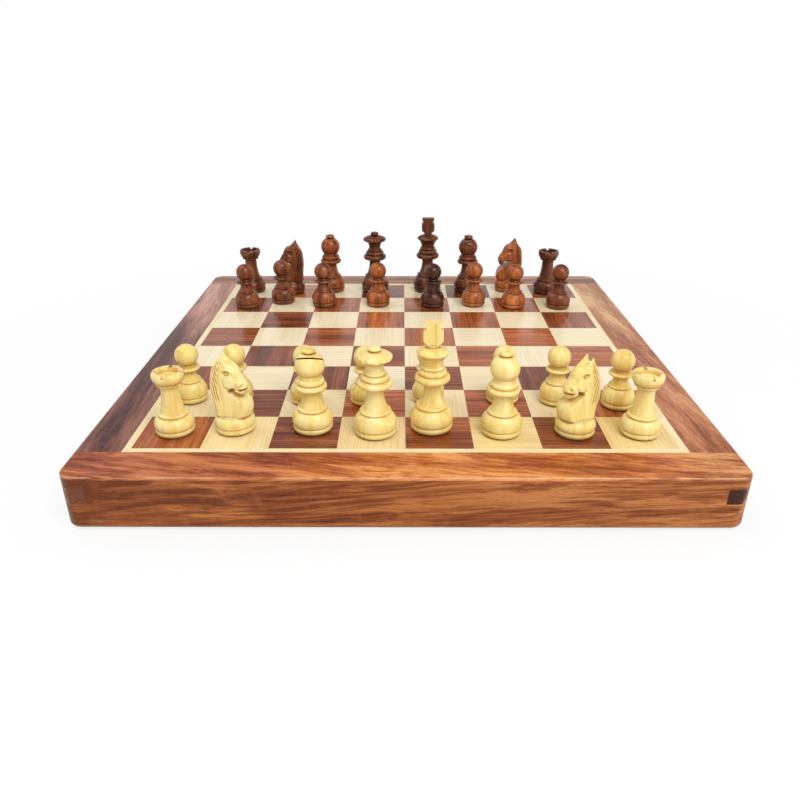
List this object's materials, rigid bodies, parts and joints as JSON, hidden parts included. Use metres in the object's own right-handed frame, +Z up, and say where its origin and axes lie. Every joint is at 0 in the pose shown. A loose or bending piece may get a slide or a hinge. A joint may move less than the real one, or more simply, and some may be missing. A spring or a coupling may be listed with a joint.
{
  "type": "travel chess set",
  "caption": "Folding wooden chess board box, hinged at its middle seam, with magnetic turned chessmen standing on its squares and slotted storage inside.",
  "frame": {"origin": "middle of the open board, on the table plane under the hinge barrels", "axes": "+Z up out of the playing surface, +X to the right and +Y away from the side of the light chessmen"},
  "size_m": [0.3048, 0.305, 0.0829],
  "materials": {
    "rail_wood": "satin lacquer",
    "side_rail_wood": "satin lacquer",
    "border_wood": "satin lacquer",
    "plywood": "raw",
    "steel": "plain",
    "light_inlay": "satin lacquer",
    "light_square_wood": "satin lacquer",
    "dark_square_wood": "satin lacquer",
    "velvet": "velvet over foam",
    "magnet": "nickel plated",
    "hinge_brass": "satin",
    "screw_brass": "satin",
    "pin_steel": "plain",
    "light_man_wood": "polished",
    "dark_man_wood": "polished"
  },
  "bodies": {
    "front_half": {"front_outer_rail": "rail_wood", "front_side_rails": "side_rail_wood", "front_spine_rail": "rail_wood", "front_panel": "plywood", "front_steel_sheet": "steel", "front_border": "border_wood", "front_stringing": "light_inlay", "front_light_squares": "light_square_wood", "front_dark_squares": "dark_square_wood", "front_storage_insert": "velvet", "front_closing_magnets": "magnet", "hinge_front_leaves": "hinge_brass", "hinge_front_screws": "screw_brass", "hinge_pins": "pin_steel"},
    "rear_half": {"rear_outer_rail": "rail_wood", "rear_side_rails": "side_rail_wood", "rear_spine_rail": "rail_wood", "rear_panel": "plywood", "rear_steel_sheet": "steel", "rear_border": "border_wood", "rear_stringing": "light_inlay", "rear_light_squares": "light_square_wood", "rear_dark_squares": "dark_square_wood", "rear_storage_insert": "velvet", "rear_closing_magnets": "magnet", "hinge_rear_leaves": "hinge_brass", "hinge_rear_screws": "screw_brass"},
    "light_rook_a_body": {"light_rook_a": "light_man_wood"},
    "light_knight_b_body": {"light_knight_b": "light_man_wood"},
    "light_bishop_c_body": {"light_bishop_c": "light_man_wood"},
    "light_queen_body": {"light_queen": "light_man_wood"},
    "light_king_body": {"light_king": "light_man_wood"},
    "light_bishop_f_body": {"light_bishop_f": "light_man_wood"},
    "light_knight_g_body": {"light_knight_g": "light_man_wood"},
    "light_rook_h_body": {"light_rook_h": "light_man_wood"},
    "light_pawn_a_body": {"light_pawn_a": "light_man_wood"},
    "light_pawn_b_body": {"light_pawn_b": "light_man_wood"},
    "light_pawn_c_body": {"light_pawn_c": "light_man_wood"},
    "light_pawn_d_body": {"light_pawn_d": "light_man_wood"},
    "light_pawn_e_body": {"light_pawn_e": "light_man_wood"},
    "light_pawn_f_body": {"light_pawn_f": "light_man_wood"},
    "light_pawn_g_body": {"light_pawn_g": "light_man_wood"},
    "light_pawn_h_body": {"light_pawn_h": "light_man_wood"},
    "dark_rook_a_body": {"dark_rook_a": "dark_man_wood"},
    "dark_knight_b_body": {"dark_knight_b": "dark_man_wood"},
    "dark_bishop_c_body": {"dark_bishop_c": "dark_man_wood"},
    "dark_queen_body": {"dark_queen": "dark_man_wood"},
    "dark_king_body": {"dark_king": "dark_man_wood"},
    "dark_bishop_f_body": {"dark_bishop_f": "dark_man_wood"},
    "dark_knight_g_body": {"dark_knight_g": "dark_man_wood"},
    "dark_rook_h_body": {"dark_rook_h": "dark_man_wood"},
    "dark_pawn_a_body": {"dark_pawn_a": "dark_man_wood"},
    "dark_pawn_b_body": {"dark_pawn_b": "dark_man_wood"},
    "dark_pawn_c_body": {"dark_pawn_c": "dark_man_wood"},
    "dark_pawn_d_body": {"dark_pawn_d": "dark_man_wood"},
    "dark_pawn_e_body": {"dark_pawn_e": "dark_man_wood"},
    "dark_pawn_f_body": {"dark_pawn_f": "dark_man_wood"},
    "dark_pawn_g_body": {"dark_pawn_g": "dark_man_wood"},
    "dark_pawn_h_body": {"dark_pawn_h": "dark_man_wood"}
  },
  "joints": [
    {"name": "fold", "type": "hinge", "parent": "front_half", "child": "rear_half", "pos_m": [0, 0, 0.0011], "axis": [1, 0, 0], "range_deg": [-180, 0]},
    {"name": "lift_light_rook_a", "type": "slide", "parent": "front_half", "child": "light_rook_a_body", "axis": [0, 0, 1], "range_m": [0, 0.06]},
    {"name": "lift_light_knight_b", "type": "slide", "parent": "front_half", "child": "light_knight_b_body", "axis": [0, 0, 1], "range_m": [0, 0.06]},
    {"name": "lift_light_bishop_c", "type": "slide", "parent": "front_half", "child": "light_bishop_c_body", "axis": [0, 0, 1], "range_m": [0, 0.06]},
    {"name": "lift_light_queen", "type": "slide", "parent": "front_half", "child": "light_queen_body", "axis": [0, 0, 1], "range_m": [0, 0.06]},
    {"name": "lift_light_king", "type": "slide", "parent": "front_half", "child": "light_king_body", "axis": [0, 0, 1], "range_m": [0, 0.06]},
    {"name": "lift_light_bishop_f", "type": "slide", "parent": "front_half", "child": "light_bishop_f_body", "axis": [0, 0, 1], "range_m": [0, 0.06]},
    {"name": "lift_light_knight_g", "type": "slide", "parent": "front_half", "child": "light_knight_g_body", "axis": [0, 0, 1], "range_m": [0, 0.06]},
    {"name": "lift_light_rook_h", "type": "slide", "parent": "front_half", "child": "light_rook_h_body", "axis": [0, 0, 1], "range_m": [0, 0.06]},
    {"name": "lift_light_pawn_a", "type": "slide", "parent": "front_half", "child": "light_pawn_a_body", "axis": [0, 0, 1], "range_m": [0, 0.06]},
    {"name": "lift_light_pawn_b", "type": "slide", "parent": "front_half", "child": "light_pawn_b_body", "axis": [0, 0, 1], "range_m": [0, 0.06]},
    {"name": "lift_light_pawn_c", "type": "slide", "parent": "front_half", "child": "light_pawn_c_body", "axis": [0, 0, 1], "range_m": [0, 0.06]},
    {"name": "lift_light_pawn_d", "type": "slide", "parent": "front_half", "child": "light_pawn_d_body", "axis": [0, 0, 1], "range_m": [0, 0.06]},
    {"name": "lift_light_pawn_e", "type": "slide", "parent": "front_half", "child": "light_pawn_e_body", "axis": [0, 0, 1], "range_m": [0, 0.06]},
    {"name": "lift_light_pawn_f", "type": "slide", "parent": "front_half", "child": "light_pawn_f_body", "axis": [0, 0, 1], "range_m": [0, 0.06]},
    {"name": "lift_light_pawn_g", "type": "slide", "parent": "front_half", "child": "light_pawn_g_body", "axis": [0, 0, 1], "range_m": [0, 0.06]},
    {"name": "lift_light_pawn_h", "type": "slide", "parent": "front_half", "child": "light_pawn_h_body", "axis": [0, 0, 1], "range_m": [0, 0.06]},
    {"name": "lift_dark_rook_a", "type": "slide", "parent": "rear_half", "child": "dark_rook_a_body", "axis": [0, 0, 1], "range_m": [0, 0.06]},
    {"name": "lift_dark_knight_b", "type": "slide", "parent": "rear_half", "child": "dark_knight_b_body", "axis": [0, 0, 1], "range_m": [0, 0.06]},
    {"name": "lift_dark_bishop_c", "type": "slide", "parent": "rear_half", "child": "dark_bishop_c_body", "axis": [0, 0, 1], "range_m": [0, 0.06]},
    {"name": "lift_dark_queen", "type": "slide", "parent": "rear_half", "child": "dark_queen_body", "axis": [0, 0, 1], "range_m": [0, 0.06]},
    {"name": "lift_dark_king", "type": "slide", "parent": "rear_half", "child": "dark_king_body", "axis": [0, 0, 1], "range_m": [0, 0.06]},
    {"name": "lift_dark_bishop_f", "type": "slide", "parent": "rear_half", "child": "dark_bishop_f_body", "axis": [0, 0, 1], "range_m": [0, 0.06]},
    {"name": "lift_dark_knight_g", "type": "slide", "parent": "rear_half", "child": "dark_knight_g_body", "axis": [0, 0, 1], "range_m": [0, 0.06]},
    {"name": "lift_dark_rook_h", "type": "slide", "parent": "rear_half", "child": "dark_rook_h_body", "axis": [0, 0, 1], "range_m": [0, 0.06]},
    {"name": "lift_dark_pawn_a", "type": "slide", "parent": "rear_half", "child": "dark_pawn_a_body", "axis": [0, 0, 1], "range_m": [0, 0.06]},
    {"name": "lift_dark_pawn_b", "type": "slide", "parent": "rear_half", "child": "dark_pawn_b_body", "axis": [0, 0, 1], "range_m": [0, 0.06]},
    {"name": "lift_dark_pawn_c", "type": "slide", "parent": "rear_half", "child": "dark_pawn_c_body", "axis": [0, 0, 1], "range_m": [0, 0.06]},
    {"name": "lift_dark_pawn_d", "type": "slide", "parent": "rear_half", "child": "dark_pawn_d_body", "axis": [0, 0, 1], "range_m": [0, 0.06]},
    {"name": "lift_dark_pawn_e", "type": "slide", "parent": "rear_half", "child": "dark_pawn_e_body", "axis": [0, 0, 1], "range_m": [0, 0.06]},
    {"name": "lift_dark_pawn_f", "type": "slide", "parent": "rear_half", "child": "dark_pawn_f_body", "axis": [0, 0, 1], "range_m": [0, 0.06]},
    {"name": "lift_dark_pawn_g", "type": "slide", "parent": "rear_half", "child": "dark_pawn_g_body", "axis": [0, 0, 1], "range_m": [0, 0.06]},
    {"name": "lift_dark_pawn_h", "type": "slide", "parent": "rear_half", "child": "dark_pawn_h_body", "axis": [0, 0, 1], "range_m": [0, 0.06]}
  ]
}
